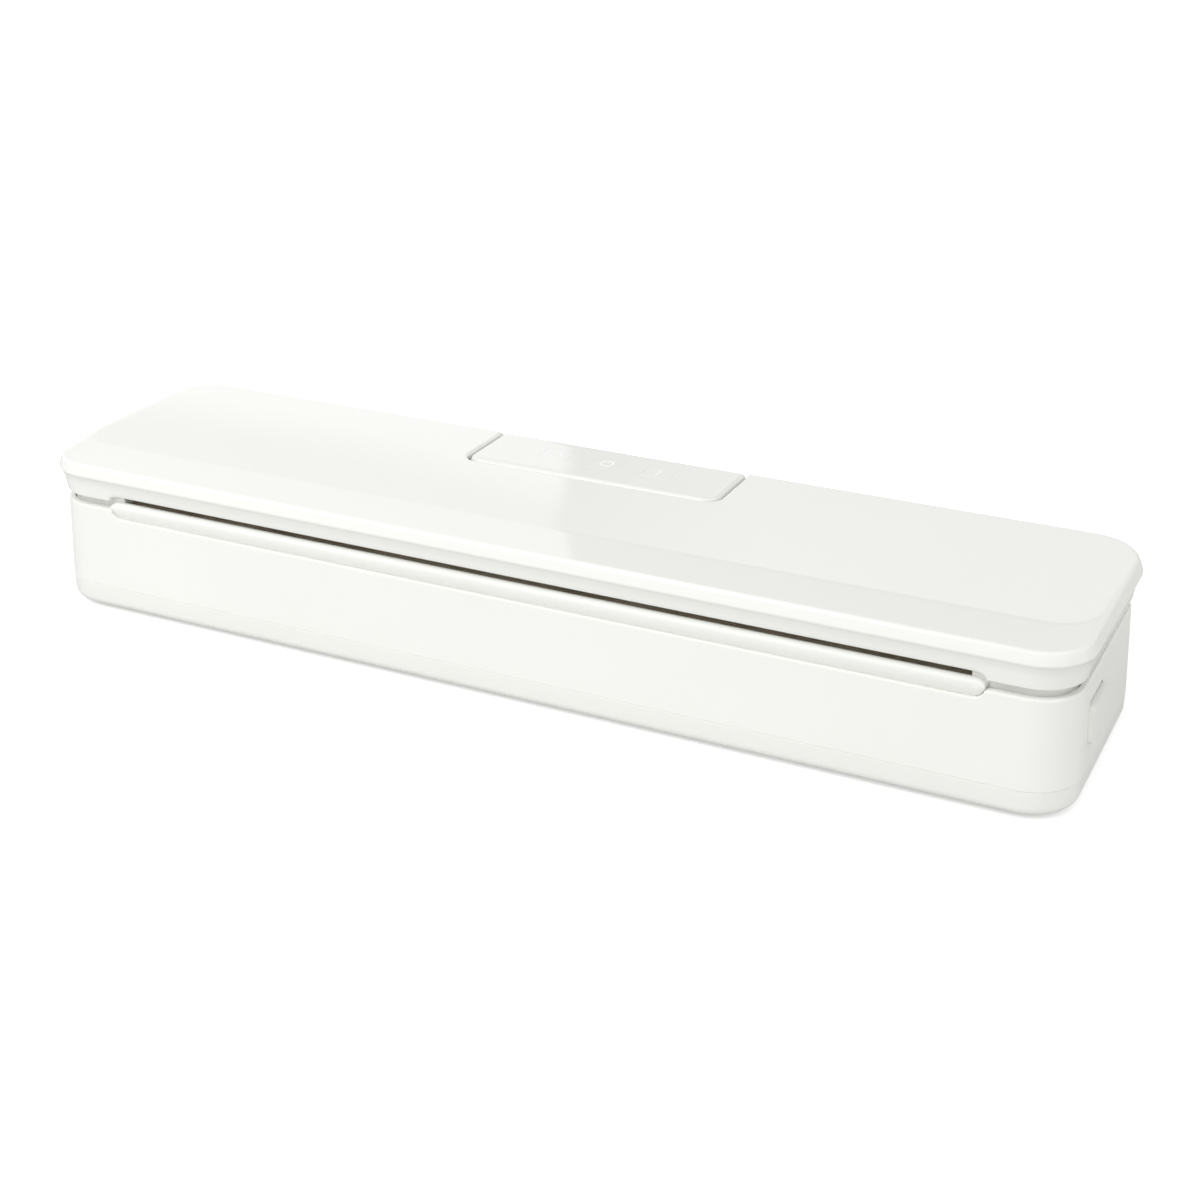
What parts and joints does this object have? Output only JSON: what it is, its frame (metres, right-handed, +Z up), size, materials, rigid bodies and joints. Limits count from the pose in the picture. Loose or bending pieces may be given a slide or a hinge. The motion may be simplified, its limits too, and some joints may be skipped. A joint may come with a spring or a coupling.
{
  "type": "vacuum bag sealer",
  "caption": "Slim household vacuum bag sealer: long white box with a hinged lid, bag slot along the front, side release buttons and touch keys on a pod at the back.",
  "frame": {"origin": "on the floor, under the middle of the body's outer box", "axes": "+X to the right of someone facing the bag slot, +Y to the back where the lid is hinged, +Z up"},
  "size_m": [0.39, 0.098, 0.0601],
  "materials": {
    "gloss_white": "high gloss moulded",
    "satin_white": "satin moulded",
    "key_white": "semi gloss",
    "rubber": "matt",
    "foam_dark": "closed-cell foam",
    "black_plastic": "matt",
    "tape_brown": "coated glass cloth",
    "strip_metal": "rolled strip",
    "silicone_grey": "soft matt",
    "steel": "plated",
    "zinc": "zinc plated",
    "board_green": "lacquered",
    "hose_pale": "smooth silicone",
    "lead_red": "insulated lead",
    "lead_black": "insulated lead"
  },
  "bodies": {
    "base": {"base_shell": "satin_white", "bottom_pan": "satin_white", "control_pod": "gloss_white", "top_deck": "satin_white", "foot_left_back": "rubber", "foot_left_front": "rubber", "foot_right_back": "rubber", "foot_right_front": "rubber", "heater_lead_left": "lead_red", "heater_lead_right": "lead_red", "heater_strip": "strip_metal", "seal_bar": "black_plastic", "seal_tape": "tape_brown", "lower_gasket": "foam_dark", "hinge_bracket_left": "steel", "hinge_bracket_right": "steel", "hinge_pin_left": "steel", "hinge_pin_right": "steel", "hinge_screw_left": "steel", "hinge_screw_right": "steel", "mains_inlet": "black_plastic", "inlet_pin_left": "steel", "inlet_pin_right": "steel", "mains_lead": "lead_black", "main_board": "board_green", "transformer": "zinc", "lid_switch": "black_plastic", "key_board": "board_green", "key_cable": "lead_black", "pan_screw_left_back": "steel", "pan_screw_left_front": "steel", "pan_screw_right_back": "steel", "pan_screw_right_front": "steel", "pump_head": "black_plastic", "pump_lead": "lead_red", "pump_motor": "zinc", "suction_hose": "hose_pale", "release_spring_left": "steel", "release_spring_right": "steel"},
    "lid": {"lid_shell": "gloss_white", "lid_liner": "satin_white", "pressure_strip": "silicone_grey", "upper_gasket": "foam_dark", "latch_hook_left": "satin_white", "latch_hook_right": "satin_white", "hinge_leaf_left": "steel", "hinge_leaf_right": "steel", "leaf_screw_left": "steel", "leaf_screw_right": "steel", "lid_screw_left_back": "steel", "lid_screw_left_front": "steel", "lid_screw_right_back": "steel", "lid_screw_right_front": "steel"},
    "release_left": {"release_button_left": "satin_white"},
    "release_right": {"release_button_right": "satin_white"},
    "left_key": {"key_left": "key_white"},
    "middle_key": {"key_middle": "key_white"},
    "right_key": {"key_right": "key_white"},
    "pump_rotor": {"pump_eccentric": "zinc"}
  },
  "joints": [
    {"name": "lid_hinge", "type": "hinge", "parent": "base", "child": "lid", "pos_m": [0, 0.0458, 0.04415], "axis": [-1, 0, 0], "range_deg": [0, 70]},
    {"name": "release_left_press", "type": "slide", "parent": "base", "child": "release_left", "axis": [1, 0, 0], "range_m": [0, 0.0018], "stiffness_N_per_m": 900, "springref_m": -0.002, "deforming": ["release_spring_left"]},
    {"name": "release_right_press", "type": "slide", "parent": "base", "child": "release_right", "axis": [-1, 0, 0], "range_m": [0, 0.0018], "stiffness_N_per_m": 900, "springref_m": -0.002, "deforming": ["release_spring_right"]},
    {"name": "key_left_press", "type": "slide", "parent": "base", "child": "left_key", "axis": [0, 0, -1], "range_m": [0, 0.0008], "stiffness_N_per_m": 1200, "springref_m": -0.0004},
    {"name": "key_middle_press", "type": "slide", "parent": "base", "child": "middle_key", "axis": [0, 0, -1], "range_m": [0, 0.0008], "stiffness_N_per_m": 1200, "springref_m": -0.0004},
    {"name": "key_right_press", "type": "slide", "parent": "base", "child": "right_key", "axis": [0, 0, -1], "range_m": [0, 0.0008], "stiffness_N_per_m": 1200, "springref_m": -0.0004},
    {"name": "pump_spin", "type": "hinge", "parent": "base", "child": "pump_rotor", "pos_m": [0.11, 0.0214, 0.0208], "axis": [1, 0, 0], "continuous": true}
  ]
}
